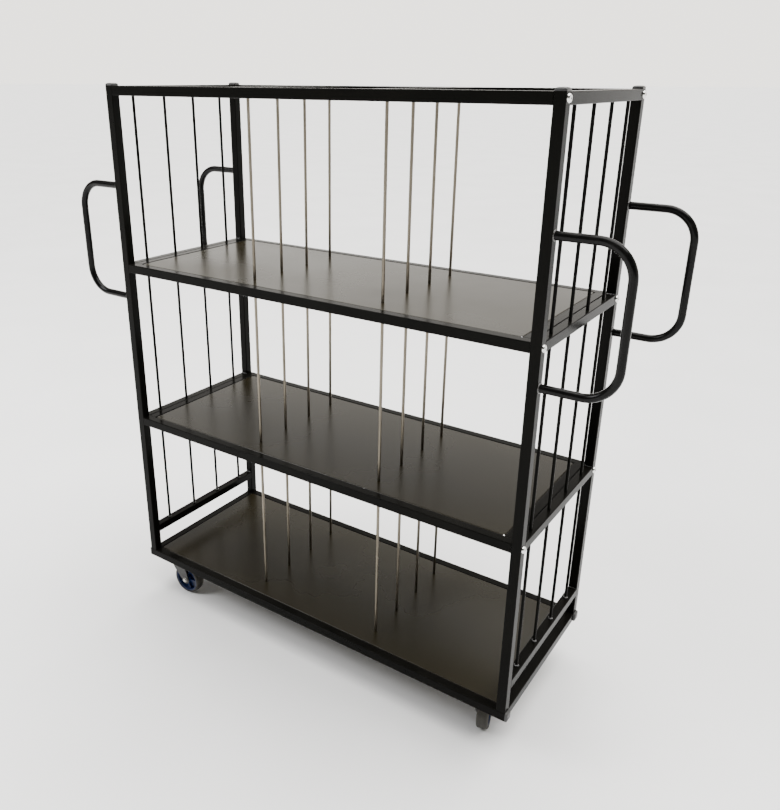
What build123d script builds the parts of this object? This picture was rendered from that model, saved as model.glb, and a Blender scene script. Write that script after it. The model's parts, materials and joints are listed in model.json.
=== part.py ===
from build123d import *
import os

# Knock-down steel luggage cart: end frames with loop handles, two shelves, a deck and four casters.
#
# Frame: +X along the cart, +Y towards its back, +Z up, in millimetres.
# Origin: on the floor, at the middle of the cart.
# Each separate piece is written to parts/NAME.step.

# ---- driving dimensions ----
CART_LENGTH = 1280.0  # over the outer faces of the posts, along X
CART_DEPTH = 507.0  # over the front and back faces, along Y
TUBE = 25.0  # square steel tube, outside
WALL = 1.5
TUBE_CORNER = 2.2  # outside corner radius of the tube
DECK_UNDERSIDE = 125.0  # height of the base frame's lower face, which is the caster's height
SHELF_PITCH = 483.5  # from one level of rails to the next
LOW_RAIL_RISE = 87.0  # from the base frame's lower face to the end frame's lowest rail

ROD_RADIUS = 4.0
ROD_HOLE_RADIUS = 4.1
RODS_PER_ROW = 4
DIVIDER_X = 204.0  # the two rows of divider rods stand at plus and minus this

SHEET = 1.2
PANEL_GAP = 1.5  # round each panel
PANEL_DROP = 0.5  # panel face below the rail tops
PANEL_BEND = 2.4  # outside radius of the folded edges
PANEL_NOTCH = 4.0  # relief cut out of each corner
PANEL_ROD_HOLE = 4.3
SHELF_FLANGE = 18.0
DECK_FLANGE = 12.0
SHELF_END_GAP = 1.5  # between a shelf frame's own end rail and the end frame
CROSS_BAR = 20.0
BAR_SLOT = 21.0  # slot in a panel's flange where a cross bar passes

HANDLE_REACH = 160.0  # post face to the centre of the grip
HANDLE_LOW = 1017.0
HANDLE_HIGH = 1337.0
HANDLE_BEND = 72.0
HANDLE_RADIUS = 9.5

BOLT_RADIUS = 3.95
BOLT_HEAD_RADIUS = 9.0
BOLT_HEAD_HEIGHT = 5.2
INSERT_LENGTH = 22.0
INSERT_BORE = 4.0
BOLT_CLEARANCE = 4.3
FOOT_HEAD_RADIUS = 6.5
FOOT_HEAD_HEIGHT = 8.0
FOOT_ACCESS_RADIUS = 8.0

CAP_HEAD = 7.0
CAP_PLUG = 5.5

CASTER_INSET_X = 79.0  # swivel axis from the cart's end
CASTER_INSET_Y = 54.0  # swivel axis from the cart's side
CASTER_TRAIL = 36.0
WHEEL_RADIUS = 50.0
WHEEL_WIDTH = 32.0
TYRE_INNER_RADIUS = 43.0
AXLE_RADIUS = 4.0
AXLE_CLEARANCE = 0.06
FORK_SHEET = 2.5
FORK_GAP = 2.0  # between the wheel's side and the fork leg
PLATE_SIZE = (92.0, 64.0)
PLATE_THICKNESS = 3.0
PLATE_HOLES = (74.0, 44.0)
KINGPIN_RADIUS = 6.0
KINGPIN_CLEARANCE = 0.08

# ---- worked out from them ----
HALF_X = CART_LENGTH / 2
HALF_Y = CART_DEPTH / 2
POST_X = HALF_X - TUBE / 2
POST_Y = HALF_Y - TUBE / 2
CLEAR_X = CART_LENGTH - 2 * TUBE
CLEAR_Y = CART_DEPTH - 2 * TUBE
BASE_TOP = DECK_UNDERSIDE + TUBE
MIDDLE_RAIL = DECK_UNDERSIDE + SHELF_PITCH
UPPER_RAIL = MIDDLE_RAIL + SHELF_PITCH
TOP_RAIL = UPPER_RAIL + SHELF_PITCH
POST_TOP = TOP_RAIL + TUBE
LOW_RAIL = DECK_UNDERSIDE + LOW_RAIL_RISE
ROD_PITCH = CLEAR_Y / RODS_PER_ROW
ROD_YS = [(i - (RODS_PER_ROW - 1) / 2) * ROD_PITCH for i in range(RODS_PER_ROW)]
TUBE_BORE = TUBE - 2 * WALL
BORE_CORNER = TUBE_CORNER - WALL
END_RAIL_X = HALF_X - TUBE - SHELF_END_GAP - TUBE / 2
SIDES = {"left": -1, "right": 1}
DEPTHS = {"front": -1, "rear": 1}
# each caster's own swivel angle at rest, in degrees from +X
CASTER_TURN = {"left_front": 3.0, "left_rear": 14.0, "right_front": 106.0, "right_rear": 172.0}

os.makedirs("parts", exist_ok=True)


def save(name, pieces):
    """Write one node: a single solid, or a group of separate ones."""
    solids = [solid for piece in pieces for solid in piece.solids()]
    shape = solids[0] if len(solids) == 1 else Compound(children=solids)
    export_step(shape, f"parts/{name}.step")


# ---- shapes used more than once ----
def square_tube(length, size=TUBE, corner=TUBE_CORNER):
    """Square tube on the Z axis, from z = 0 up."""
    bore = size - 2 * WALL
    outside = extrude(RectangleRounded(size, size, corner), amount=length)
    inside = extrude(RectangleRounded(bore, bore, corner - WALL), amount=length)
    return outside - inside


def tube_along_x(length, z_bottom, y, size=TUBE):
    """Tube centred on x = 0, with its lower face at z_bottom."""
    turned = Rot(0, 90, 0) * square_tube(length, size)
    return Pos(-length / 2, y, z_bottom + size / 2) * turned


def tube_along_y(length, z_bottom, x, size=TUBE):
    """Tube centred on y = 0, with its lower face at z_bottom."""
    turned = Rot(-90, 0, 0) * square_tube(length, size)
    return Pos(x, -length / 2, z_bottom + size / 2) * turned


def upright(radius, x, y, z_low, z_high):
    """Round bar or drill along Z."""
    middle = (z_low + z_high) / 2
    return Pos(x, y, middle) * Cylinder(radius, z_high - z_low)


def rod_row(x, z_low, z_high, radius=ROD_RADIUS):
    """The row of rods, or of drills for them, at one x."""
    return [upright(radius, x, y, z_low, z_high) for y in ROD_YS]


def drilled(body, drills):
    """Body with every drill taken out of it."""
    for drill in drills:
        body = body - drill
    return body


def tube_cap():
    """Push-in plastic cap: rounded head from z = 0 up, ribbed plug below it."""
    head = extrude(RectangleRounded(TUBE, TUBE, TUBE_CORNER), amount=CAP_HEAD)
    head = fillet(head.faces().sort_by(Axis.Z)[-1].edges(), 2.0)
    core = TUBE_BORE - 3.0
    plug = Pos(0, 0, -CAP_PLUG / 2) * Box(core, core, CAP_PLUG)
    rib = extrude(RectangleRounded(TUBE_BORE, TUBE_BORE, BORE_CORNER), amount=1.2)
    return head + plug + Pos(0, 0, -2.6) * rib + Pos(0, 0, -5.0) * rib


def tube_insert():
    """Square steel plug with a tapped bore, from z = 0 down."""
    block = extrude(RectangleRounded(TUBE_BORE, TUBE_BORE, BORE_CORNER), amount=-INSERT_LENGTH)
    return block - Pos(0, 0, -INSERT_LENGTH / 2) * Cylinder(INSERT_BORE, INSERT_LENGTH)


def dome_bolt():
    """Dome-head socket bolt: head from z = 0 up, shank down through a tube into an insert."""
    length = TUBE + INSERT_LENGTH - 3.0
    head = Pos(0, 0, BOLT_HEAD_HEIGHT / 2) * Cylinder(BOLT_HEAD_RADIUS, BOLT_HEAD_HEIGHT)
    head = fillet(head.faces().sort_by(Axis.Z)[-1].edges(), BOLT_HEAD_HEIGHT - 0.6)
    socket = Pos(0, 0, BOLT_HEAD_HEIGHT - 2.6) * extrude(RegularPolygon(2.9, 6), amount=3.0)
    shank = Pos(0, 0, -length / 2) * Cylinder(BOLT_RADIUS, length)
    return head - socket + shank


def foot_bolt():
    """Cap screw: head from z = 0 down, shank up through the base tube's wall into a post's insert."""
    length = WALL + INSERT_LENGTH - 3.0
    head = Pos(0, 0, -FOOT_HEAD_HEIGHT / 2) * Cylinder(FOOT_HEAD_RADIUS, FOOT_HEAD_HEIGHT)
    socket = Pos(0, 0, -FOOT_HEAD_HEIGHT) * extrude(RegularPolygon(3.4, 6), amount=4.0)
    shank = Pos(0, 0, length / 2) * Cylinder(BOLT_RADIUS, length)
    return head - socket + shank


def pan(rail_top, flange, clear_x):
    """Sheet panel with folded-down flanges, corner reliefs, rod holes and cross-bar slots."""
    face_z = rail_top - PANEL_DROP
    height = flange + SHEET
    long_x = clear_x - 2 * PANEL_GAP
    wide_y = CLEAR_Y - 2 * PANEL_GAP
    outside = Pos(0, 0, face_z - height / 2) * Box(long_x, wide_y, height)
    outside = fillet(outside.faces().sort_by(Axis.Z)[-1].edges(), PANEL_BEND)
    inside = Pos(0, 0, face_z - SHEET - flange / 2) * Box(long_x - 2 * SHEET, wide_y - 2 * SHEET, flange)
    inside = fillet(inside.faces().sort_by(Axis.Z)[-1].edges(), PANEL_BEND - SHEET)
    body = outside - inside
    cuts = []
    for side in (-1, 1):
        cuts += rod_row(side * DIVIDER_X, face_z - height, face_z + 1, PANEL_ROD_HOLE)
        slot = Box(BAR_SLOT, wide_y + 1, flange)
        cuts.append(Pos(side * DIVIDER_X, 0, face_z - SHEET - flange / 2) * slot)
        for depth in (-1, 1):
            notch = Box(2 * PANEL_NOTCH, 2 * PANEL_NOTCH, 2 * height)
            cuts.append(Pos(side * long_x / 2, depth * wide_y / 2, face_z) * notch)
    return drilled(body, cuts)


# ---- end frames: posts, cross rails, rods and loop handles ----
BOLT_LEVELS = [level + TUBE / 2 for level in (MIDDLE_RAIL, UPPER_RAIL, TOP_RAIL)]


def post(side, depth):
    """Corner post, drilled along X for the bolts into the long rails."""
    body = Pos(side * POST_X, depth * POST_Y, BASE_TOP) * square_tube(POST_TOP - BASE_TOP)
    drill = Rot(0, 90, 0) * Cylinder(BOLT_CLEARANCE, TUBE + 2)
    return drilled(body, [Pos(side * POST_X, depth * POST_Y, z) * drill for z in BOLT_LEVELS])


def end_rail(side, z_bottom, open_below, open_above):
    """Cross rail of an end frame, with holes for the rods in its lower and upper walls."""
    x = side * POST_X
    drills = []
    if open_below:
        drills += rod_row(x, z_bottom - 1, z_bottom + TUBE / 2, ROD_HOLE_RADIUS)
    if open_above:
        drills += rod_row(x, z_bottom + TUBE / 2, z_bottom + TUBE + 1, ROD_HOLE_RADIUS)
    return drilled(tube_along_y(CLEAR_Y, z_bottom, x), drills)


def loop_handle(side, depth):
    """Round tube bent into a D, both ends on the post's outer face."""
    y = depth * POST_Y
    root = side * HALF_X
    grip = side * (HALF_X + HANDLE_REACH)
    corners = [(root, y, HANDLE_HIGH), (grip, y, HANDLE_HIGH), (grip, y, HANDLE_LOW), (root, y, HANDLE_LOW)]
    path = FilletPolyline(*corners, radius=HANDLE_BEND)
    ring = Circle(HANDLE_RADIUS) - Circle(HANDLE_RADIUS - WALL)
    return sweep(Plane(origin=path @ 0, z_dir=path % 0) * ring, path=path)


END_RAILS = {
    "top": (TOP_RAIL, True, False),
    "upper": (UPPER_RAIL, True, True),
    "middle": (MIDDLE_RAIL, True, True),
    "low": (LOW_RAIL, False, True),
}
ROD_TOP = POST_TOP - 10.0
for side_name, side in SIDES.items():
    for depth_name, depth in DEPTHS.items():
        save(f"{side_name}_{depth_name}_post", [post(side, depth)])
        save(f"{side_name}_{depth_name}_handle", [loop_handle(side, depth)])
    for level_name, (z_bottom, open_below, open_above) in END_RAILS.items():
        save(f"{side_name}_{level_name}_rail", [end_rail(side, z_bottom, open_below, open_above)])
    save(f"{side_name}_end_rods", rod_row(side * POST_X, LOW_RAIL + WALL, ROD_TOP))

# ---- long rails, shelves and dividers ----
for depth_name, depth in DEPTHS.items():
    for level_name, z_bottom in (("top", TOP_RAIL), ("upper", UPPER_RAIL), ("middle", MIDDLE_RAIL)):
        save(f"{level_name}_{depth_name}_rail", [tube_along_x(CLEAR_X, z_bottom, depth * POST_Y)])

SHELF_CLEAR_X = 2 * END_RAIL_X - TUBE
save("upper_shelf_panel", [pan(UPPER_RAIL + TUBE, SHELF_FLANGE, SHELF_CLEAR_X)])
save("middle_shelf_panel", [pan(MIDDLE_RAIL + TUBE, SHELF_FLANGE, SHELF_CLEAR_X)])
save("deck_panel", [pan(BASE_TOP, DECK_FLANGE, CLEAR_X)])

shelf_end_rails = []
cross_bars = []
for level in (UPPER_RAIL, MIDDLE_RAIL, DECK_UNDERSIDE):
    bar_bottom = level + TUBE - PANEL_DROP - SHEET - CROSS_BAR
    for side in SIDES.values():
        x = side * DIVIDER_X
        drills = rod_row(x, bar_bottom + WALL + 1, bar_bottom + CROSS_BAR + 1, ROD_HOLE_RADIUS)
        if level != DECK_UNDERSIDE:
            shelf_end_rails.append(tube_along_y(CLEAR_Y, level, side * END_RAIL_X))
            drills += rod_row(x, bar_bottom - 1, bar_bottom + WALL + 1, ROD_HOLE_RADIUS)
        cross_bars.append(drilled(tube_along_y(CLEAR_Y, bar_bottom, x, CROSS_BAR), drills))
save("shelf_end_rails", shelf_end_rails)
save("cross_bars", cross_bars)

divider_top_rails = []
rod_foot = BASE_TOP - PANEL_DROP - SHEET - CROSS_BAR + WALL
for side_name, side in SIDES.items():
    x = side * DIVIDER_X
    holes = rod_row(x, TOP_RAIL - 1, TOP_RAIL + TUBE / 2, ROD_HOLE_RADIUS)
    divider_top_rails.append(drilled(tube_along_y(CLEAR_Y, TOP_RAIL, x), holes))
    save(f"{side_name}_divider_rods", rod_row(x, rod_foot, ROD_TOP))
save("divider_top_rails", divider_top_rails)

# ---- base frame ----
for depth_name, depth in DEPTHS.items():
    tube = tube_along_x(CART_LENGTH, DECK_UNDERSIDE, depth * POST_Y)
    drills = []
    for side in SIDES.values():
        drills.append(upright(BOLT_CLEARANCE, side * POST_X, depth * POST_Y, BASE_TOP - 3, BASE_TOP + 1))
        low, high = DECK_UNDERSIDE - 1, DECK_UNDERSIDE + 3
        drills.append(upright(FOOT_ACCESS_RADIUS, side * POST_X, depth * POST_Y, low, high))
    save(f"base_{depth_name}_tube", [drilled(tube, drills)])
save("base_end_tubes", [tube_along_y(CLEAR_Y, DECK_UNDERSIDE, side * POST_X) for side in SIDES.values()])

# ---- caps, inserts and bolts ----
caps = []
inserts = []
frame_bolts = []
foot_bolts = []
for side in SIDES.values():
    outwards = Rot(0, side * 90, 0)
    for depth in DEPTHS.values():
        y = depth * POST_Y
        caps.append(Pos(side * POST_X, y, POST_TOP) * tube_cap())
        caps.append(Pos(side * HALF_X, y, DECK_UNDERSIDE + TUBE / 2) * outwards * tube_cap())
        foot_seat = BASE_TOP - WALL
        foot_bolts.append(Pos(side * POST_X, y, foot_seat) * foot_bolt())
        inserts.append(Pos(side * POST_X, y, BASE_TOP + INSERT_LENGTH) * tube_insert())
        for z in BOLT_LEVELS:
            inserts.append(Pos(side * CLEAR_X / 2, y, z) * outwards * tube_insert())
            frame_bolts.append(Pos(side * HALF_X, y, z) * outwards * dome_bolt())
save("tube_end_caps", caps)
save("tube_inserts", inserts)
save("frame_bolts", frame_bolts)
save("foot_bolts", foot_bolts)

# ---- casters: heights from the floor, swivel axis on Z, wheel trailing along +X ----
PLATE_LOW = DECK_UNDERSIDE - PLATE_THICKNESS
RACE_LOW = PLATE_LOW - 4.0
FORK_HEAD_LOW = 104.0
FORK_HEAD_TOP = FORK_HEAD_LOW + FORK_SHEET
FORK_RACE_TOP = FORK_HEAD_TOP + 5.5
LEG_Y = WHEEL_WIDTH / 2 + FORK_GAP + FORK_SHEET / 2
AXLE_END = LEG_Y + FORK_SHEET / 2
RACE_RADIUS = 19.0
MOUNT_PLATE = 4.0
MOUNT_PLATE_X = 108.0
MOUNT_PLATE_Y = 78.5


def hole_grid():
    """The plate's four bolt positions about the swivel axis."""
    return [(i * PLATE_HOLES[0] / 2, j * PLATE_HOLES[1] / 2) for i in (-1, 1) for j in (-1, 1)]


def ring(outer, inner, z_low, z_high):
    """Plain ring about Z."""
    return upright(outer, 0, 0, z_low, z_high) - upright(inner, 0, 0, z_low - 1, z_high + 1)


def caster_plate():
    """Top plate with its pressed upper ball race."""
    plate = extrude(RectangleRounded(*PLATE_SIZE, 7.0), amount=PLATE_THICKNESS)
    body = Pos(0, 0, PLATE_LOW) * plate + ring(27.0, 12.0, RACE_LOW, PLATE_LOW)
    groove = Pos(0, 0, RACE_LOW - 1.4) * Torus(RACE_RADIUS, 3.0)
    drills = [upright(BOLT_CLEARANCE, x, y, PLATE_LOW - 1, DECK_UNDERSIDE + 1) for x, y in hole_grid()]
    drills.append(upright(KINGPIN_RADIUS, 0, 0, RACE_LOW - 1, DECK_UNDERSIDE + 1))
    return drilled(body - groove, drills)


def kingpin():
    """Rivet that holds the fork to the plate."""
    shank = upright(KINGPIN_RADIUS, 0, 0, FORK_HEAD_LOW - 1, DECK_UNDERSIDE)
    head = upright(10.0, 0, 0, FORK_HEAD_LOW - 5, FORK_HEAD_LOW - 0.3)
    head = fillet(head.faces().sort_by(Axis.Z)[0].edges(), 2.5)
    return shank + head


def swivel_bearing():
    """Caged ring of balls between the two races."""
    middle = (RACE_LOW + FORK_RACE_TOP) / 2
    balls = [Pos(RACE_RADIUS, 0, middle) * Sphere(2.2)]
    balls = [Rot(0, 0, 360 * i / 16) * balls[0] for i in range(16)]
    cage = ring(RACE_RADIUS + 1.2, RACE_RADIUS - 1.2, middle - 0.6, middle + 0.6)
    for ball in balls:
        cage = cage + ball
    return cage


def fork():
    """Pressed fork: round head with the lower race, and two legs down to the axle."""
    head = upright(29.0, 0, 0, FORK_HEAD_LOW, FORK_HEAD_TOP)
    saddle = Pos(10, 0, FORK_HEAD_LOW + FORK_SHEET / 2) * Box(48, 2 * AXLE_END, FORK_SHEET)
    race = ring(25.0, 12.0, FORK_HEAD_TOP, FORK_RACE_TOP)
    groove = Pos(0, 0, FORK_RACE_TOP + 1.4) * Torus(RACE_RADIUS, 3.0)
    outline = make_hull([
        Pos(CASTER_TRAIL, WHEEL_RADIUS) * Circle(14).edge(),
        Line((-14, FORK_HEAD_TOP), (34, FORK_HEAD_TOP)),
        Line((-12, FORK_HEAD_LOW - 16), (-14, FORK_HEAD_TOP)),
    ])
    leg = extrude(Plane.XZ * outline, amount=FORK_SHEET / 2, both=True)
    body = head + saddle + race + Pos(0, LEG_Y, 0) * leg + Pos(0, -LEG_Y, 0) * leg - groove
    pin_hole = upright(KINGPIN_RADIUS + KINGPIN_CLEARANCE, 0, 0, FORK_HEAD_LOW - 1, FORK_RACE_TOP + 1)
    axle_hole = Pos(CASTER_TRAIL, 0, WHEEL_RADIUS) * Rot(90, 0, 0) * Cylinder(AXLE_RADIUS, 2 * AXLE_END + 2)
    return body - pin_hole - axle_hole


def axle():
    """Axle bolt across the fork, with its hexagon head and nut."""
    shank = Cylinder(AXLE_RADIUS, 2 * AXLE_END + 12)
    hexagon = extrude(RegularPolygon(7.0, 6), amount=5.0)
    collar = Cylinder(7.5, 1.2)
    body = shank + Pos(0, 0, AXLE_END) * hexagon + Pos(0, 0, -AXLE_END - 5) * hexagon
    for end in (-1, 1):
        body = body + Pos(0, 0, end * (AXLE_END + 0.6)) * collar
    return Pos(CASTER_TRAIL, 0, WHEEL_RADIUS) * Rot(90, 0, 0) * body


def wheel_place(body):
    """Put a wheel piece, made about Z, on the caster's axle."""
    return Pos(CASTER_TRAIL, 0, WHEEL_RADIUS) * Rot(90, 0, 0) * body


def tyre():
    """Tread with rounded shoulders."""
    body = Cylinder(WHEEL_RADIUS, WHEEL_WIDTH)
    body = fillet(body.edges().filter_by(GeomType.CIRCLE), 4.0)
    return wheel_place(body - Cylinder(TYRE_INNER_RADIUS, WHEEL_WIDTH + 1))


def hub():
    """Moulded core: rim, web with ribs, and a boss bored for the axle."""
    rim = Cylinder(TYRE_INNER_RADIUS, WHEEL_WIDTH - 3) - Cylinder(TYRE_INNER_RADIUS - 4, WHEEL_WIDTH)
    boss = Cylinder(12.0, WHEEL_WIDTH + 2)
    web = Cylinder(TYRE_INNER_RADIUS - 3, 5.0)
    body = rim + boss + web
    reach = TYRE_INNER_RADIUS - 3
    for i in range(5):
        rib = Pos(reach / 2, 0, 0) * Box(reach, 3.0, WHEEL_WIDTH - 8)
        body = body + Rot(0, 0, 72 * i) * rib
    return wheel_place(body - Cylinder(AXLE_RADIUS + AXLE_CLEARANCE, WHEEL_WIDTH + 4))


def mount_plate():
    """Corner plate welded inside the base frame, lower face flush with it."""
    plate_x = HALF_X - TUBE - MOUNT_PLATE_X / 2 - (HALF_X - CASTER_INSET_X)
    plate_y = HALF_Y - TUBE - MOUNT_PLATE_Y / 2 - (HALF_Y - CASTER_INSET_Y)
    plate = Box(MOUNT_PLATE_X, MOUNT_PLATE_Y, MOUNT_PLATE)
    body = Pos(plate_x, plate_y, DECK_UNDERSIDE + MOUNT_PLATE / 2) * plate
    low, high = DECK_UNDERSIDE - 1, DECK_UNDERSIDE + MOUNT_PLATE + 1
    return drilled(body, [upright(BOLT_CLEARANCE, x, y, low, high) for x, y in hole_grid()])


def caster_fasteners():
    """Four hexagon bolts from below, each with a nut on the mounting plate."""
    pieces = []
    nut_seat = DECK_UNDERSIDE + MOUNT_PLATE
    for x, y in hole_grid():
        head = extrude(RegularPolygon(7.5, 6), amount=-5.0)
        shank = upright(BOLT_RADIUS, x, y, PLATE_LOW, nut_seat + 7.5)
        pieces.append(Pos(x, y, PLATE_LOW) * head + shank)
        nut = extrude(RegularPolygon(7.5, 6), amount=6.5) - Cylinder(INSERT_BORE, 20)
        pieces.append(Pos(x, y, nut_seat) * nut)
    return pieces


plates = []
fasteners = []
kingpins = []
bearings = []
mount_plates = []
for side_name, side in SIDES.items():
    for depth_name, depth in DEPTHS.items():
        corner = f"{side_name}_{depth_name}"
        spot = Pos(side * (HALF_X - CASTER_INSET_X), depth * (HALF_Y - CASTER_INSET_Y), 0)
        turned = spot * Rot(0, 0, CASTER_TURN[corner])
        # the fixed pieces sit square to the frame: turned half round on the left or the back
        plate_blank = mount_plate()
        if side < 0:
            plate_blank = plate_blank.mirror(Plane.YZ)
        if depth < 0:
            plate_blank = plate_blank.mirror(Plane.XZ)
        mount_plates.append(spot * plate_blank)
        plates.append(spot * caster_plate())
        fasteners += [spot * piece for piece in caster_fasteners()]
        kingpins.append(spot * kingpin())
        bearings.append(spot * swivel_bearing())
        save(f"{corner}_fork", [turned * fork()])
        save(f"{corner}_axle", [turned * axle()])
        save(f"{corner}_tyre", [turned * tyre()])
        save(f"{corner}_hub", [turned * hub()])
save("caster_mount_plates", mount_plates)
save("caster_plates", plates)
save("caster_fasteners", fasteners)
save("kingpins", kingpins)
save("swivel_bearings", bearings)
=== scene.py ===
"""Steel luggage cart: finishes, welds and detailed wheels on the cart's frame, in metres.

The cart stands on z = 0 with its length along X. Its left end is towards -X and its front towards -Y.
"""

import json
import logging
import math
from dataclasses import dataclass, field
from enum import Enum
from typing import Callable, Iterable

import bmesh
import bpy
from mathutils import Matrix, Vector


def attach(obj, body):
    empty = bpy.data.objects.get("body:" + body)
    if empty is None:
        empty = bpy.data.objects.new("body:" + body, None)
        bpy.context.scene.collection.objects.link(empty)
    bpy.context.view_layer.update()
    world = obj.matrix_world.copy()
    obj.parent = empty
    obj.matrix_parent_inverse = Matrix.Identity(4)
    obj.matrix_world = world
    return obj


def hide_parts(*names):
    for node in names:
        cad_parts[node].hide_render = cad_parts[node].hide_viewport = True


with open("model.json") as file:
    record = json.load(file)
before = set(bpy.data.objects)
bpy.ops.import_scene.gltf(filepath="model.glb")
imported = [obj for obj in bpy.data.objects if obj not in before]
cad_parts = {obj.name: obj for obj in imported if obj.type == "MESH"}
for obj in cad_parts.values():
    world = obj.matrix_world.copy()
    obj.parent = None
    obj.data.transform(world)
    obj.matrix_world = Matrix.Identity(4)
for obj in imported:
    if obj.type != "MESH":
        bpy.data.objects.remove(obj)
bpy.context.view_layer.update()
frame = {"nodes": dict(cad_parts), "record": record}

LOG = logging.getLogger("luggage_cart")
FLAT = 0.9  # a normal's part along an axis, above which a face counts as square to it
SAME_LEVEL = 1e-5  # two places closer than this along an axis are level, in metres
ON_AXIS = 0.001  # a face whose centre is closer than this to the axis lies on it, in metres
RUBBED_ROUGHNESS = 0.12  # what a full rub mark adds to a finish's roughness
DUSTY_ROUGHNESS = 0.5  # what full dust adds to it
Colour = tuple[float, float, float]


# ---------------------------------------------------------------- hand tools


class Bench:
    """Edit-mode tools on one mesh at a time."""

    @staticmethod
    def clear() -> None:
        """Leave edit mode and deselect everything."""
        if bpy.context.mode != "OBJECT":
            bpy.ops.object.mode_set(mode="OBJECT")
        bpy.ops.object.select_all(action="DESELECT")

    @staticmethod
    def edit(obj: bpy.types.Object) -> None:
        """Open one object alone in edit mode with nothing selected.

        Args:
            obj: the mesh object to work on.
        """
        Bench.clear()
        obj.select_set(True)
        bpy.context.view_layer.objects.active = obj
        bpy.ops.object.mode_set(mode="EDIT")
        bpy.ops.mesh.select_all(action="DESELECT")

    @staticmethod
    def pick_faces(test: Callable[[Vector, Vector], bool]) -> None:
        """Select the faces of the open mesh that pass a test, and no others.

        Args:
            test: takes a face's centre and normal.
        """
        bpy.ops.mesh.select_mode(type="FACE")
        bpy.ops.mesh.select_all(action="DESELECT")
        mesh = bmesh.from_edit_mesh(bpy.context.edit_object.data)
        for face in mesh.faces:
            face.select_set(test(face.calc_center_median(), face.normal))
        bmesh.update_edit_mesh(bpy.context.edit_object.data)

    @staticmethod
    def pick_edges(test: Callable[[Vector, Vector], bool]) -> None:
        """Select the edges of the open mesh that pass a test, and no others.

        Args:
            test: takes the places of an edge's two ends.
        """
        bpy.ops.mesh.select_mode(type="EDGE")
        bpy.ops.mesh.select_all(action="DESELECT")
        mesh = bmesh.from_edit_mesh(bpy.context.edit_object.data)
        for edge in mesh.edges:
            edge.select_set(test(edge.verts[0].co, edge.verts[1].co))
        bmesh.update_edit_mesh(bpy.context.edit_object.data)

    @staticmethod
    def push(distance: float, direction: Vector) -> None:
        """Extrude the selected faces by one move.

        Args:
            distance: how far.
            direction: unit vector.
        """
        move = tuple(direction * distance)
        bpy.ops.mesh.extrude_region_move(TRANSFORM_OT_translate={"value": move})

    @staticmethod
    def close(smooth_degrees: float = 35.0) -> bpy.types.Object:
        """Merge doubles, turn normals outwards, leave edit mode and smooth the shading.

        Args:
            smooth_degrees: edges sharper than this stay sharp.

        Returns:
            The finished object.
        """
        bpy.ops.mesh.select_all(action="SELECT")
        bpy.ops.mesh.remove_doubles(threshold=1e-6)
        bpy.ops.mesh.normals_make_consistent(inside=False)
        bpy.ops.object.mode_set(mode="OBJECT")
        bpy.ops.object.shade_smooth_by_angle(angle=math.radians(smooth_degrees))
        return bpy.context.active_object

    @staticmethod
    def stamp(blank: bpy.types.Object, places: Iterable[Matrix], name: str) -> bpy.types.Object:
        """Copy a blank to several places, each with its own mesh, and join the copies.

        Args:
            blank: the modelled blank, about the origin.
            places: one matrix for each copy.
            name: the joined piece's name.

        Returns:
            One object at the origin that holds every copy.
        """
        copies = []
        for place in places:
            copy = bpy.data.objects.new(name, blank.data.copy())
            copy.data.transform(place)
            bpy.context.scene.collection.objects.link(copy)
            copies.append(copy)
        Bench.clear()
        for copy in copies:
            copy.select_set(True)
        bpy.context.view_layer.objects.active = copies[0]
        if len(copies) > 1:
            bpy.ops.object.join()
        joined = bpy.context.active_object
        joined.name = name
        joined.data.name = name
        return joined

    @staticmethod
    def discard(obj: bpy.types.Object) -> None:
        """Delete a blank once its copies are made.

        Args:
            obj: the blank.
        """
        mesh = obj.data
        bpy.data.objects.remove(obj)
        bpy.data.meshes.remove(mesh)


# ---------------------------------------------------------------- finishes


class Graph:
    """Adds and links the nodes of one node tree."""

    def __init__(self, tree: bpy.types.NodeTree) -> None:
        """Start on an empty tree.

        Args:
            tree: the tree to fill.
        """
        self.tree = tree
        tree.nodes.clear()

    def add(self, kind: str, inputs: dict | None = None, **settings: object) -> bpy.types.Node:
        """Add one node.

        Args:
            kind: the node's type name, without its ShaderNode prefix.
            inputs: values or sockets for its inputs, by name or number.
            settings: the node's own settings.

        Returns:
            The node.
        """
        node = self.tree.nodes.new(kind if kind.startswith("Node") else f"ShaderNode{kind}")
        for key, value in settings.items():
            setattr(node, key, value)
        for key, value in (inputs or {}).items():
            if isinstance(value, bpy.types.NodeSocket):
                self.tree.links.new(value, node.inputs[key])
            else:
                node.inputs[key].default_value = value
        return node

    def ramp(
        self, value: bpy.types.NodeSocket, low: float, high: float, start: float = 0.0, end: float = 1.0
    ) -> bpy.types.NodeSocket:
        """Map a value from low-high to start-end, held at both ends.

        Args:
            value: the varying input.
            low: input at start.
            high: input at end.
            start: output at low.
            end: output at high.

        Returns:
            The mapped value's socket.
        """
        numbers = {"Value": value, "From Min": low, "From Max": high, "To Min": start, "To Max": end}
        return self.add("MapRange", numbers).outputs["Result"]


def new_group(name: str, numbers: dict[str, float], outputs: dict[str, str]) -> tuple[Graph, bpy.types.Node]:
    """Make an empty shader node group.

    Args:
        name: the group's name.
        numbers: its float inputs and their defaults.
        outputs: its outputs and their socket types.

    Returns:
        The graph to fill, and the group's input node.
    """
    tree = bpy.data.node_groups.new(name, "ShaderNodeTree")
    for label, default in numbers.items():
        socket = tree.interface.new_socket(label, in_out="INPUT", socket_type="NodeSocketFloat")
        socket.default_value = default
    for label, kind in outputs.items():
        tree.interface.new_socket(label, in_out="OUTPUT", socket_type=kind)
    graph = Graph(tree)
    return graph, graph.add("NodeGroupInput")


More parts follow.
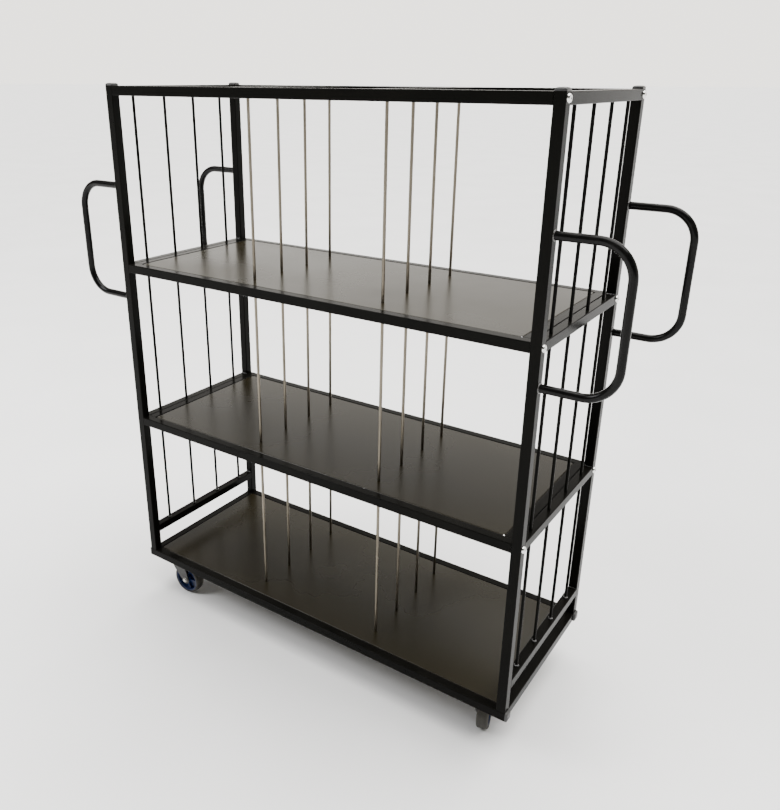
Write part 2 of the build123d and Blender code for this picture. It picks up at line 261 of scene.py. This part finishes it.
class Effects:
    """The surface effects that several finishes share, as node groups."""

    def __init__(self) -> None:
        """Build every group once."""
        self.ripple = self._ripple()
        self.drawn = self._drawn()
        self.dust = self._dust()
        self.rub = self._rub()

    @staticmethod
    def _ripple() -> bpy.types.NodeTree:
        """Soft ripple of baked powder or moulded plastic: its normal."""
        graph, entry = new_group(
            "powder_ripple",
            {"Scale": 420.0, "Height": 0.0002},
            {"Normal": "NodeSocketVector"},
        )
        place = graph.add("TexCoord").outputs["Object"]
        noise = graph.add("TexNoise", {"Vector": place, "Scale": entry.outputs["Scale"], "Detail": 2.0})
        bump = graph.add(
            "Bump", {"Height": noise.outputs["Fac"], "Distance": entry.outputs["Height"], "Strength": 1.0}
        )
        graph.add("NodeGroupOutput", {"Normal": bump.outputs["Normal"]})
        return graph.tree

    @staticmethod
    def _drawn() -> bpy.types.NodeTree:
        """Fine lines along Z, as drawing leaves on bright rod: their normal."""
        graph, entry = new_group(
            "drawn_lines",
            {"Scale": 900.0, "Height": 0.00008},
            {"Normal": "NodeSocketVector"},
        )
        place = graph.add("TexCoord").outputs["Object"]
        stretched = graph.add("Mapping", {"Vector": place, "Scale": (1.0, 1.0, 0.012)})
        noise = graph.add(
            "TexNoise", {"Vector": stretched.outputs["Vector"], "Scale": entry.outputs["Scale"], "Detail": 3.0}
        )
        bump = graph.add(
            "Bump", {"Height": noise.outputs["Fac"], "Distance": entry.outputs["Height"], "Strength": 1.0}
        )
        graph.add("NodeGroupOutput", {"Normal": bump.outputs["Normal"]})
        return graph.tree

    @staticmethod
    def _dust() -> bpy.types.NodeTree:
        """Dust that settles in patches on faces that look up: its mask."""
        graph, entry = new_group("settled_dust", {"Amount": 0.3}, {"Mask": "NodeSocketFloat"})
        place = graph.add("TexCoord").outputs["Object"]
        cloud = graph.add("TexNoise", {"Vector": place, "Scale": 7.0, "Detail": 5.0, "Roughness": 0.62})
        specks = graph.add("TexNoise", {"Vector": place, "Scale": 260.0, "Detail": 2.0})
        facing = graph.add("SeparateXYZ", {"Vector": graph.add("NewGeometry").outputs["Normal"]})
        level = graph.ramp(facing.outputs["Z"], 0.5, 0.98)
        patches = graph.ramp(cloud.outputs["Fac"], 0.36, 0.68, 0.35, 1.0)
        grit = graph.ramp(specks.outputs["Fac"], 0.4, 0.62, 0.55, 1.0)
        first = graph.add("Math", {0: level, 1: patches}, operation="MULTIPLY")
        second = graph.add("Math", {0: first.outputs[0], 1: grit}, operation="MULTIPLY")
        mask = graph.add("Math", {0: second.outputs[0], 1: entry.outputs["Amount"]}, operation="MULTIPLY")
        graph.add("NodeGroupOutput", {"Mask": mask.outputs[0]})
        return graph.tree

    @staticmethod
    def _rub() -> bpy.types.NodeTree:
        """Faint streaks where luggage and hands have rubbed: their mask."""
        graph, entry = new_group("rub_marks", {"Scale": 26.0, "Amount": 0.5}, {"Mask": "NodeSocketFloat"})
        place = graph.add("TexCoord").outputs["Object"]
        skewed = graph.add("Mapping", {"Vector": place, "Rotation": (0.3, 0.2, 0.5), "Scale": (1.0, 5.0, 3.0)})
        streak = graph.add(
            "TexNoise",
            {"Vector": skewed.outputs["Vector"], "Scale": entry.outputs["Scale"], "Detail": 4.0},
        )
        where = graph.add("TexNoise", {"Vector": place, "Scale": 4.0, "Detail": 2.0})
        lines = graph.ramp(streak.outputs["Fac"], 0.52, 0.80)
        spots = graph.ramp(where.outputs["Fac"], 0.35, 0.75)
        both = graph.add("Math", {0: lines, 1: spots}, operation="MULTIPLY")
        mask = graph.add("Math", {0: both.outputs[0], 1: entry.outputs["Amount"]}, operation="MULTIPLY")
        graph.add("NodeGroupOutput", {"Mask": mask.outputs[0]})
        return graph.tree


class Grain(Enum):
    """The fine relief of a finish."""

    RIPPLE = "ripple"
    DRAWN = "drawn"


@dataclass(frozen=True)
class Finish:
    """One finish: a base colour that drifts, a gloss that varies, fine relief, rub marks and dust."""

    name: str
    base: Colour
    drift: Colour
    roughness: tuple[float, float]
    metallic: float = 0.0
    specular: float = 0.5
    grain: Grain = Grain.RIPPLE
    grain_scale: float = 420.0
    grain_height: float = 0.0001
    drift_scale: float = 9.0
    rub: float = 0.4
    rub_colour: Colour = (0.05, 0.048, 0.045)
    dust: float = 0.12
    dust_colour: Colour = (0.20, 0.185, 0.165)

    def build(self, effects: Effects) -> bpy.types.Material:
        """Make the material.

        Args:
            effects: the shared node groups.

        Returns:
            The material.
        """
        material = bpy.data.materials.new(self.name)
        material.use_nodes = True
        graph = Graph(material.node_tree)
        place = graph.add("TexCoord").outputs["Object"]
        cloud = graph.add("TexNoise", {"Vector": place, "Scale": self.drift_scale, "Detail": 4.0})
        spread = graph.ramp(cloud.outputs["Fac"], 0.35, 0.65)
        tree = effects.ripple if self.grain is Grain.RIPPLE else effects.drawn
        relief = graph.add("Group", node_tree=tree)
        relief.inputs["Scale"].default_value = self.grain_scale
        relief.inputs["Height"].default_value = self.grain_height
        rub = graph.add("Group", node_tree=effects.rub)
        rub.inputs["Amount"].default_value = self.rub
        dust = graph.add("Group", node_tree=effects.dust)
        dust.inputs["Amount"].default_value = self.dust
        colour = self._blend(graph, spread, (*self.base, 1.0), (*self.drift, 1.0))
        colour = self._blend(graph, rub.outputs["Mask"], colour, (*self.rub_colour, 1.0))
        colour = self._blend(graph, dust.outputs["Mask"], colour, (*self.dust_colour, 1.0))
        low, high = self.roughness
        gloss = graph.ramp(spread, 0.0, 1.0, low, high)
        worn = {0: rub.outputs["Mask"], 1: RUBBED_ROUGHNESS, 2: gloss}
        rubbed = graph.add("Math", worn, operation="MULTIPLY_ADD")
        covered = {0: dust.outputs["Mask"], 1: DUSTY_ROUGHNESS, 2: rubbed.outputs[0]}
        dusty = graph.add("Math", covered, operation="MULTIPLY_ADD")
        shader = graph.add(
            "BsdfPrincipled",
            {
                "Base Color": colour,
                "Roughness": dusty.outputs[0],
                "Normal": relief.outputs["Normal"],
                "Metallic": self.metallic,
                "Specular IOR Level": self.specular,
            },
        )
        graph.add("OutputMaterial", {"Surface": shader.outputs["BSDF"]})
        return material

    @staticmethod
    def _blend(graph: Graph, mask: bpy.types.NodeSocket, first: object, second: object) -> bpy.types.NodeSocket:
        """Mix two colours by a mask.

        Args:
            graph: the material's graph.
            mask: 0 for the first, 1 for the second.
            first: colour or socket.
            second: colour or socket.

        Returns:
            The mixed colour's socket.
        """
        mix = graph.add("Mix", {0: mask, 6: first, 7: second}, data_type="RGBA")
        return mix.outputs[2]


class Paint(Enum):
    """The cart's finishes."""

    FRAME = Finish(
        "black_powder_coat", (0.0022, 0.0022, 0.0018), (0.0032, 0.0031, 0.0024), (0.17, 0.23),
        specular=0.035, grain_scale=420.0, grain_height=0.00002,
        rub=0.05, rub_colour=(0.020, 0.019, 0.017), dust=0.02,
    )
    PANEL = Finish(
        "panel_powder_coat", (0.0114, 0.0090, 0.0036), (0.0146, 0.0118, 0.0052), (0.24, 0.32),
        specular=0.25, grain_scale=380.0, grain_height=0.000003, drift_scale=2.5, rub=0.0, dust=0.0,
    )
    HANDLE = Finish(
        "gloss_black_coat", (0.0022, 0.0022, 0.0023), (0.0034, 0.0033, 0.0031), (0.12, 0.18),
        specular=0.10, grain_scale=420.0, grain_height=0.00002, rub=0.2, dust=0.02,
    )
    ROD = Finish(
        "drawn_rod_steel", (0.125, 0.110, 0.086), (0.178, 0.156, 0.122), (0.30, 0.40),
        metallic=1.0, grain=Grain.DRAWN, grain_scale=900.0, grain_height=0.00003,
        rub=0.3, rub_colour=(0.30, 0.28, 0.25), dust=0.0,
    )
    ZINC = Finish(
        "zinc_plate", (0.50, 0.50, 0.48), (0.60, 0.59, 0.55), (0.30, 0.42),
        metallic=1.0, grain_scale=700.0, drift_scale=40.0, rub=0.5, rub_colour=(0.35, 0.34, 0.32), dust=0.1,
    )
    BRIGHT = Finish(
        "bright_bolt_head", (0.72, 0.72, 0.70), (0.80, 0.80, 0.78), (0.14, 0.22),
        metallic=1.0, grain_scale=800.0, grain_height=0.00003, drift_scale=60.0, rub=0.4, dust=0.05,
    )
    CAP = Finish(
        "black_moulded_cap", (0.008, 0.008, 0.008), (0.012, 0.012, 0.012), (0.38, 0.48),
        specular=0.5, grain_scale=900.0, grain_height=0.00008, rub=0.6, dust=0.10,
    )
    FORK = Finish(
        "pressed_fork_coat", (0.008, 0.008, 0.0085), (0.013, 0.012, 0.011), (0.28, 0.42),
        specular=0.5, grain_scale=420.0, grain_height=0.0001, rub=0.8, rub_colour=(0.10, 0.095, 0.09), dust=0.25,
    )
    HUB = Finish(
        "blue_moulded_core", (0.0040, 0.0120, 0.0550), (0.0060, 0.0170, 0.0720), (0.25, 0.34),
        specular=0.4, grain_scale=600.0, grain_height=0.00008, rub=0.2, rub_colour=(0.02, 0.04, 0.10), dust=0.05,
    )
    TYRE = Finish(
        "tyre_rubber", (0.020, 0.019, 0.015), (0.032, 0.029, 0.022), (0.55, 0.75),
        specular=0.4, grain_scale=800.0, grain_height=0.00015, rub=0.9, rub_colour=(0.07, 0.062, 0.05), dust=0.35,
    )
    WELD = Finish(
        "painted_weld", (0.010, 0.010, 0.010), (0.030, 0.029, 0.027), (0.18, 0.30),
        specular=0.7, grain_scale=900.0, grain_height=0.0002, rub=0.8, rub_colour=(0.25, 0.24, 0.22), dust=0.05,
    )


class Palette:
    """Builds each finish once and puts it on pieces."""

    def __init__(self) -> None:
        """Build the shared effects and every material."""
        effects = Effects()
        self.materials = {paint: paint.value.build(effects) for paint in Paint}

    def dress(self, obj: bpy.types.Object, paint: Paint) -> None:
        """Give one object one finish all over.

        Args:
            obj: a piece or a CAD node.
            paint: the finish.
        """
        if not obj.material_slots:
            obj.data.materials.append(self.materials[paint])
        for slot in obj.material_slots:
            slot.material = self.materials[paint]


# ---------------------------------------------------------------- sub-assemblies


@dataclass
class Steelwork:
    """The CAD pieces that keep their shape: posts, rails, rods, panels, handles and fixings."""

    paints: dict[str, Paint] = field(
        default_factory=lambda: {
            "black_frame": Paint.FRAME,
            "panel_paint": Paint.PANEL,
            "handle_black": Paint.HANDLE,
            "rod_steel": Paint.ROD,
            "zinc": Paint.ZINC,
            "bolt_bright": Paint.BRIGHT,
            "black_plastic": Paint.CAP,
            "fork_black": Paint.FORK,
            "hub_blue": Paint.HUB,
            "tyre_rubber": Paint.TYRE,
        }
    )

    def dress(self, palette: Palette) -> None:
        """Finish every CAD node by the record's material slot.

        Args:
            palette: the built finishes.
        """
        slots = {part["node"]: part["material_slot"] for part in frame["record"]["subparts"]}
        for node, obj in frame["nodes"].items():
            palette.dress(obj, self.paints[slots[node]])
            LOG.info("%s: %s", node, slots[node])


@dataclass
class Welds:
    """Weld beads of the end frames and the base, painted over with the frame."""

    post_x: float = 0.6275
    half_x: float = 0.640
    post_y: float = 0.241
    inner_y: float = 0.2285
    tube: float = 0.025
    rail_tops: tuple[float, ...] = (0.237, 0.6335, 1.117)
    rod_ys: tuple[float, ...] = (-0.171375, -0.057125, 0.057125, 0.171375)
    handle_levels: tuple[float, ...] = (1.017, 1.337)
    handle_radius: float = 0.0095
    dab_radius: float = 0.0064
    dab_flattening: float = 0.55
    bead: float = 0.0022
    pass_height: float = 0.0003
    fillet_cuts: int = 12

    def dab(self) -> bpy.types.Object:
        """Model one blob of weld round a rod's foot.

        Returns:
            The blank, standing on z = 0.
        """
        Bench.clear()
        bpy.ops.mesh.primitive_uv_sphere_add(segments=20, ring_count=12, radius=self.dab_radius)
        blob = bpy.context.active_object
        Bench.edit(blob)
        bpy.ops.mesh.select_all(action="SELECT")
        bpy.ops.mesh.bisect(plane_co=(0, 0, 0), plane_no=(0, 0, 1), clear_inner=True, use_fill=True)
        bpy.ops.mesh.select_all(action="SELECT")
        bpy.ops.transform.resize(value=(1.0, 1.0, self.dab_flattening))
        Bench.pick_faces(lambda centre, normal: normal.z > 0.2 and centre.x * centre.y > 0)
        bpy.ops.transform.translate(value=(0, 0, 0.0004))
        return Bench.close(50.0)

    def ring(self) -> bpy.types.Object:
        """Model the bead round a handle's root, with the ripples of its passes.

        Returns:
            The blank about X, lying on x = 0.
        """
        Bench.clear()
        turn = (0, math.radians(90), 0)
        bpy.ops.mesh.primitive_torus_add(
            rotation=turn, major_segments=72, minor_segments=10,
            major_radius=self.handle_radius + 0.0006, minor_radius=self.bead,
        )
        bead = bpy.context.active_object
        bpy.ops.object.transform_apply(location=True, rotation=True, scale=True)
        Bench.edit(bead)
        Bench.pick_faces(lambda centre, normal: int(math.atan2(centre.y, centre.z) * 18 / math.pi + 36) % 2 == 0)
        bpy.ops.transform.shrink_fatten(value=self.pass_height)
        bpy.ops.mesh.select_all(action="SELECT")
        bpy.ops.mesh.bisect(plane_co=(0.0002, 0, 0), plane_no=(1, 0, 0), clear_inner=True, use_fill=False)
        Bench.pick_edges(lambda a, b: a.x < 0.0003 and b.x < 0.0003)
        bpy.ops.mesh.extrude_region_move(TRANSFORM_OT_translate={"value": (-0.0002, 0, 0)})
        Bench.pick_edges(lambda a, b: a.x < 0.00005 and b.x < 0.00005)
        bpy.ops.mesh.bridge_edge_loops()
        return Bench.close(50.0)

    def fillet(self, length: float) -> bpy.types.Object:
        """Model a straight fillet bead for an inside corner.

        Args:
            length: along X.

        Returns:
            The blank, its corner on the X axis, its legs along +Y and +Z.
        """
        Bench.clear()
        bpy.ops.mesh.primitive_cylinder_add(
            vertices=16, radius=self.bead, depth=length, rotation=(0, math.radians(90), 0)
        )
        bead = bpy.context.active_object
        bpy.ops.object.transform_apply(location=True, rotation=True, scale=True)
        Bench.edit(bead)
        for step in range(1, self.fillet_cuts):
            bpy.ops.mesh.select_all(action="SELECT")
            spot = (-length / 2 + length * step / self.fillet_cuts, 0, 0)
            bpy.ops.mesh.bisect(plane_co=spot, plane_no=(1, 0, 0))
        bpy.ops.mesh.select_all(action="SELECT")
        bpy.ops.mesh.bisect(plane_co=(0, 0, 0), plane_no=(0, 1, 0), clear_inner=True, use_fill=True)
        bpy.ops.mesh.select_all(action="SELECT")
        bpy.ops.mesh.bisect(plane_co=(0, 0, 0), plane_no=(0, 0, 1), clear_inner=True, use_fill=True)
        pitch = length / 6
        Bench.pick_faces(
            lambda centre, normal: normal.y > 0.05 and normal.z > 0.05 and int((centre.x + length / 2) / pitch) % 2 == 0
        )
        bpy.ops.transform.translate(value=(0, self.pass_height, self.pass_height))
        return Bench.close(50.0)

    def build(self, palette: Palette) -> None:
        """Make and place every bead.

        Args:
            palette: the built finishes.
        """
        dab, ring, corner = self.dab(), self.ring(), self.fillet(self.tube - 0.005)
        for side_name, side in (("left", -1), ("right", 1)):
            feet = [Matrix.Translation((side * self.post_x, y, self.rail_tops[0])) for y in self.rod_ys]
            self._place(dab, feet, f"{side_name}_rod_foot_welds", palette)
            face = Matrix.Translation((side * self.half_x, 0, 0)) @ Matrix.Rotation(0 if side > 0 else math.pi, 4, "Z")
            roots = [
                Matrix.Translation((0, depth * self.post_y, level)) @ face
                for depth in (-1, 1)
                for level in self.handle_levels
            ]
            self._place(ring, roots, f"{side_name}_handle_welds", palette)
            corners = [
                Matrix.Translation((side * self.post_x, depth * self.inner_y, top))
                @ Matrix.Rotation(math.pi if depth > 0 else 0, 4, "Z")
                for depth in (-1, 1)
                for top in self.rail_tops
            ]
            self._place(corner, corners, f"{side_name}_rail_welds", palette)
        for blank in (dab, ring, corner):
            Bench.discard(blank)

    @staticmethod
    def _place(blank: bpy.types.Object, places: list[Matrix], name: str, palette: Palette) -> None:
        """Stamp, dress and declare one set of beads.

        Args:
            blank: the bead.
            places: where its copies go.
            name: the set's name.
            palette: the built finishes.
        """
        piece = Bench.stamp(blank, places, name)
        palette.dress(piece, Paint.WELD)
        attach(piece, "frame")
        LOG.info("%s: %d beads", name, len(places))


@dataclass
class TubeCaps:
    """Push-in plastic caps on the posts' tops and the base tubes' ends."""

    tube: float = 0.025
    corner: float = 0.0022
    wall: float = 0.0022
    dome: tuple[tuple[float, float], ...] = (
        (0.0017, 0.965), (0.0013, 0.93), (0.0009, 0.88), (0.0006, 0.80), (0.0003, 0.60),
    )
    plug_inset: float = 0.003
    plug: float = 0.0053
    post: tuple[float, float, float] = (0.6275, 0.241, 1.6005)
    base: tuple[float, float, float] = (0.640, 0.241, 0.1375)

    def blank(self) -> bpy.types.Object:
        """Model one cap: a straight skirt, a dome that closes in steps, and a tapered plug.

        Returns:
            The cap, its seat on z = 0.
        """
        Bench.clear()
        bpy.ops.mesh.primitive_cube_add(size=1.0)
        cap = bpy.context.active_object
        Bench.edit(cap)
        bpy.ops.mesh.select_all(action="SELECT")
        bpy.ops.transform.resize(value=(self.tube, self.tube, self.wall))
        bpy.ops.transform.translate(value=(0, 0, self.wall / 2))
        Bench.pick_edges(lambda a, b: abs(a.z - b.z) > self.wall / 2)
        bpy.ops.mesh.bevel(offset=self.corner, segments=5, profile=0.5)
        Bench.pick_faces(lambda centre, normal: normal.z > FLAT)
        for rise, closing in self.dome:
            Bench.push(rise, Vector((0, 0, 1)))
            bpy.ops.transform.resize(value=(closing, closing, 1.0), center_override=(0, 0, 0))
        Bench.pick_faces(lambda centre, normal: normal.z < -FLAT)
        bpy.ops.mesh.inset(thickness=self.plug_inset, depth=0.0)
        Bench.push(self.plug, Vector((0, 0, -1)))
        bpy.ops.transform.resize(value=(0.94, 0.94, 1.0), center_override=(0, 0, 0))
        return Bench.close(32.0)

    def build(self, palette: Palette) -> None:
        """Replace the plain caps by domed ones.

        Args:
            palette: the built finishes.
        """
        blank = self.blank()
        places = []
        for side in (-1, 1):
            for depth in (-1, 1):
                x, y, z = self.post
                places.append(Matrix.Translation((side * x, depth * y, z)))
                x, y, z = self.base
                outwards = Matrix.Rotation(math.radians(side * 90), 4, "Y")
                places.append(Matrix.Translation((side * x, depth * y, z)) @ outwards)
        caps = Bench.stamp(blank, places, "domed_tube_caps")
        Bench.discard(blank)
        palette.dress(caps, Paint.CAP)
        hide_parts("tube_end_caps")
        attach(caps, "frame")
        LOG.info("%s: %d caps", caps.name, len(places))


@dataclass
class Wheel:
    """One caster's wheel: a grooved tyre on a ribbed core."""

    radius: float = 0.050
    width: float = 0.032
    seat_radius: float = 0.043
    shoulder: float = 0.0055
    groove_y: float = 0.0062
    groove_width: float = 0.0014
    groove_depth: float = 0.0009
    rim_wall: float = 0.004
    rim_width: float = 0.029
    web_width: float = 0.005
    boss_radius: float = 0.012
    boss_width: float = 0.0338
    bore_radius: float = 0.0043
    dish_draft: float = 0.0012
    boss_draft: float = 0.001
    edge_break: float = 0.0007
    ribs: int = 5
    rib_thickness: float = 0.003
    rib_clearance: float = 0.006

    def tyre(self) -> bpy.types.Object:
        """Model the tyre about Z.

        Returns:
            The blank.
        """
        Bench.clear()
        bpy.ops.mesh.primitive_cylinder_add(vertices=96, radius=self.radius, depth=self.width)
        tyre = bpy.context.active_object
        Bench.edit(tyre)
        wall = self.radius - self.seat_radius
        Bench.pick_faces(lambda centre, normal: abs(normal.z) > FLAT)
        bpy.ops.mesh.inset(thickness=wall, depth=0.0)
        self._caps()
        bpy.ops.mesh.delete(type="FACE")
        Bench.pick_edges(lambda a, b: max(a.xy.length, b.xy.length) < self.seat_radius + 0.001)
        bpy.ops.mesh.bridge_edge_loops()
        rim = self.radius - 0.001
        Bench.pick_edges(lambda a, b: min(a.xy.length, b.xy.length) > rim and abs(a.z - b.z) < SAME_LEVEL)
        bpy.ops.mesh.bevel(offset=self.shoulder, segments=5, profile=0.5)
        for side in (-1, 1):
            for edge in (-1, 1):
                bpy.ops.mesh.select_all(action="SELECT")
                level = side * self.groove_y + edge * self.groove_width / 2
                bpy.ops.mesh.bisect(plane_co=(0, 0, level), plane_no=(0, 0, 1))
        near = self.groove_width / 2
        Bench.pick_faces(
            lambda centre, normal: centre.xy.length > rim - 0.001 and abs(abs(centre.z) - self.groove_y) < near
        )
        bpy.ops.mesh.extrude_region_shrink_fatten(TRANSFORM_OT_shrink_fatten={"value": -self.groove_depth})
        return Bench.close(30.0)

    def core(self) -> bpy.types.Object:
        """Model the core about Z: rim, dished web, ribs and bored boss.

        Returns:
            The blank.
        """
        Bench.clear()
        bpy.ops.mesh.primitive_cylinder_add(vertices=72, radius=self.seat_radius, depth=self.rim_width)
        core = bpy.context.active_object
        Bench.edit(core)
        Bench.pick_faces(lambda centre, normal: abs(normal.z) > FLAT)
        bpy.ops.mesh.inset(thickness=self.rim_wall, depth=0.0)
        dish = (self.rim_width - self.web_width) / 2
        self._caps()
        bpy.ops.mesh.inset(thickness=self.dish_draft, depth=-dish)
        self._caps()
        inner = self.seat_radius - self.rim_wall - self.dish_draft
        bpy.ops.mesh.inset(thickness=inner - self.boss_radius - self.boss_draft, depth=0.0)
        self._caps()
        bpy.ops.mesh.inset(thickness=self.boss_draft, depth=(self.boss_width - self.web_width) / 2)
        self._caps()
        bpy.ops.mesh.inset(thickness=self.boss_radius - self.bore_radius, depth=0.0)
        self._caps()
        bpy.ops.mesh.delete(type="FACE")
        Bench.pick_edges(
            lambda a, b: max(a.xy.length, b.xy.length) < self.bore_radius + 0.0005 and abs(a.z - b.z) < SAME_LEVEL
        )
        bpy.ops.mesh.bridge_edge_loops()
        rim = self.seat_radius - 0.0005
        half = self.rim_width / 2
        Bench.pick_edges(
            lambda a, b: all(abs(abs(end.z) - half) < SAME_LEVEL for end in (a, b)) and a.xy.length < rim
        )
        bpy.ops.mesh.bevel(offset=self.edge_break, segments=2, profile=0.5)
        core = Bench.close(30.0)
        spokes = self._spokes()
        Bench.clear()
        core.select_set(True)
        spokes.select_set(True)
        bpy.context.view_layer.objects.active = core
        bpy.ops.object.join()
        return core

    @staticmethod
    def _caps() -> None:
        """Select the two end faces at the middle of the open mesh."""
        Bench.pick_faces(lambda centre, normal: abs(normal.z) > FLAT and centre.xy.length < ON_AXIS)

    def _spokes(self) -> bpy.types.Object:
        """Model the ribs between boss and rim, tapered towards the rim.

        Returns:
            The ribs as one object.
        """
        Bench.clear()
        start = self.boss_radius - 0.001
        end = self.seat_radius - self.rim_wall / 2
        height = self.rim_width - self.rib_clearance
        bpy.ops.mesh.primitive_cube_add(size=1.0)
        rib = bpy.context.active_object
        Bench.edit(rib)
        bpy.ops.mesh.select_all(action="SELECT")
        bpy.ops.transform.resize(value=(end - start, self.rib_thickness, height))
        bpy.ops.transform.translate(value=((start + end) / 2, 0, 0))
        Bench.pick_faces(lambda centre, normal: normal.x > FLAT)
        bpy.ops.transform.resize(value=(1.0, 0.75, 0.85))
        Bench.pick_edges(lambda a, b: abs(a.x - b.x) > 0.01)
        bpy.ops.mesh.bevel(offset=self.edge_break, segments=2, profile=0.5)
        rib = Bench.close(30.0)
        turns = [Matrix.Rotation(2 * math.pi * i / self.ribs, 4, "Z") for i in range(self.ribs)]
        spokes = Bench.stamp(rib, turns, "core_ribs")
        Bench.discard(rib)
        return spokes


@dataclass
class Casters:
    """The wheels of the four swivel casters, at the angles they stand at."""

    axis_x: float = 0.561
    axis_y: float = 0.1995
    trail: float = 0.036
    axle_height: float = 0.050
    turns: dict[str, float] = field(
        default_factory=lambda: {"left_front": 3.0, "left_rear": 14.0, "right_front": 106.0, "right_rear": 172.0}
    )
    wheel: Wheel = field(default_factory=Wheel)

    def place(self, corner: str) -> Matrix:
        """Give where a wheel modelled about Z goes.

        Args:
            corner: which caster.

        Returns:
            The matrix from the wheel's blank to its place on the cart.
        """
        x = self.axis_x if corner.startswith("right") else -self.axis_x
        y = self.axis_y if corner.endswith("rear") else -self.axis_y
        swivel = Matrix.Translation((x, y, 0)) @ Matrix.Rotation(math.radians(self.turns[corner]), 4, "Z")
        axle = Matrix.Translation((self.trail, 0, self.axle_height)) @ Matrix.Rotation(math.radians(90), 4, "X")
        return swivel @ axle

    def build(self, palette: Palette) -> None:
        """Replace every plain wheel by its detailed pieces.

        Args:
            palette: the built finishes.
        """
        tyre, core = self.wheel.tyre(), self.wheel.core()
        for corner in self.turns:
            for blank, node, paint, slot in (
                (tyre, "tyre", Paint.TYRE, "tyre_rubber"),
                (core, "hub", Paint.HUB, "hub_blue"),
            ):
                piece = Bench.stamp(blank, [self.place(corner)], f"{corner}_{node}_moulding")
                palette.dress(piece, paint)
                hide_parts(f"{corner}_{node}")
                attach(piece, f"{corner}_wheel")
                LOG.info("%s: wheel piece", piece.name)
        for blank in (tyre, core):
            Bench.discard(blank)


# ---------------------------------------------------------------- studio


@dataclass
class Studio:
    """Pale floor, soft light and the camera."""

    eye: tuple[float, float, float] = (1.18558, -1.73132, 1.62101)
    yaw: float = 35.1237
    pitch: float = 21.3319
    roll: float = 0.1931
    lens: float = 36.288
    shift: tuple[float, float] = (0.05993, -0.02541)
    floor_size: float = 400.0
    overhead: float = 8.0
    edge_power: float = 260.0
    edge_spot: tuple[float, float, float] = (-3.4, -3.2, 4.6)
    backdrop: float = 2.66
    glow: float = 2.2
    room: float = 0.12

    def build(self) -> None:
        """Set up everything round the cart."""
        self._camera()
        self._floor()
        self._world()
        self._overhead_light()
        self._edge_softbox()

    def _camera(self) -> None:
        """Place the camera."""
        data = bpy.data.cameras.new("camera")
        data.sensor_fit = "HORIZONTAL"
        data.sensor_width = 36.0
        data.lens = self.lens
        data.shift_x, data.shift_y = self.shift
        data.clip_end = 200.0
        camera = bpy.data.objects.new("camera", data)
        aim = Matrix.Rotation(math.radians(self.yaw), 4, "Z") @ Matrix.Rotation(math.radians(90 - self.pitch), 4, "X")
        camera.matrix_world = Matrix.Translation(self.eye) @ aim @ Matrix.Rotation(math.radians(self.roll), 4, "Z")
        bpy.context.scene.collection.objects.link(camera)
        bpy.context.scene.camera = camera

    def _floor(self) -> None:
        """Lay the floor."""
        Bench.clear()
        bpy.ops.mesh.primitive_plane_add(size=self.floor_size)
        floor = bpy.context.active_object
        floor.name = "studio_floor"
        material = bpy.data.materials.new("pale_floor")
        material.use_nodes = True
        graph = Graph(material.node_tree)
        place = graph.add("TexCoord").outputs["Object"]
        cloud = graph.add("TexNoise", {"Vector": place, "Scale": 1.5, "Detail": 2.0})
        tone = graph.ramp(cloud.outputs["Fac"], 0.3, 0.7, 0.86, 0.90)
        colour = graph.add("CombineColor", {"Red": tone, "Green": tone, "Blue": tone})
        shader = graph.add("BsdfPrincipled", {"Base Color": colour.outputs["Color"], "Roughness": 0.9})
        shader.inputs["Specular IOR Level"].default_value = 0.1
        graph.add("OutputMaterial", {"Surface": shader.outputs["BSDF"]})
        floor.data.materials.append(material)

    def _world(self) -> None:
        """Surround the cart with light: bright low down behind it, dim overhead and in front."""
        world = bpy.data.worlds.new("studio")
        bpy.context.scene.world = world
        world.use_nodes = True
        graph = Graph(world.node_tree)
        facing = graph.add("SeparateXYZ", {"Vector": graph.add("TexCoord").outputs["Generated"]})
        behind = graph.ramp(facing.outputs["Y"], -0.1, 0.6, 0.0, self.glow)
        low_down = graph.ramp(facing.outputs["Z"], 0.12, 0.62, 1.0, 0.2)
        wall = graph.add("Math", {0: behind, 1: low_down, 2: self.room}, operation="MULTIPLY_ADD")
        seen = graph.add("LightPath").outputs["Is Camera Ray"]
        strength = graph.add("Mix", {0: seen, 2: wall.outputs[0], 3: self.backdrop}, data_type="FLOAT")
        back = graph.add("Background", {"Color": (1.0, 0.965, 0.905, 1.0), "Strength": strength.outputs[0]})
        graph.add("OutputWorld", {"Surface": back.outputs["Background"]})

    def _overhead_light(self) -> None:
        """Light the floor evenly and softly from above."""
        data = bpy.data.lights.new("overhead", "SUN")
        data.energy = self.overhead
        data.angle = math.radians(70.0)
        data.color = (1.0, 0.99, 0.97)
        light = bpy.data.objects.new("overhead", data)
        light.rotation_euler = (math.radians(-12.0), math.radians(6.0), 0.0)
        bpy.context.scene.collection.objects.link(light)

    def _edge_softbox(self) -> None:
        """Hang a softbox high at the front left, which draws a fine light line along the rounded edges."""
        data = bpy.data.lights.new("edge_softbox", "AREA")
        data.shape = "RECTANGLE"
        data.size, data.size_y = 2.4, 2.4
        data.energy = self.edge_power
        light = bpy.data.objects.new("edge_softbox", data)
        light.location = self.edge_spot
        aim = Vector((0.0, 0.0, 0.8)) - Vector(self.edge_spot)
        light.rotation_euler = aim.to_track_quat("-Z", "Y").to_euler()
        light.visible_camera = False
        bpy.context.scene.collection.objects.link(light)


def main() -> None:
    """Build the cart's pieces in order."""
    logging.basicConfig(level=logging.INFO, format="%(name)s %(message)s")
    palette = Palette()
    Steelwork().dress(palette)
    Welds().build(palette)
    TubeCaps().build(palette)
    Casters().build(palette)
    Studio().build()


if __name__ == "__main__":
    main()
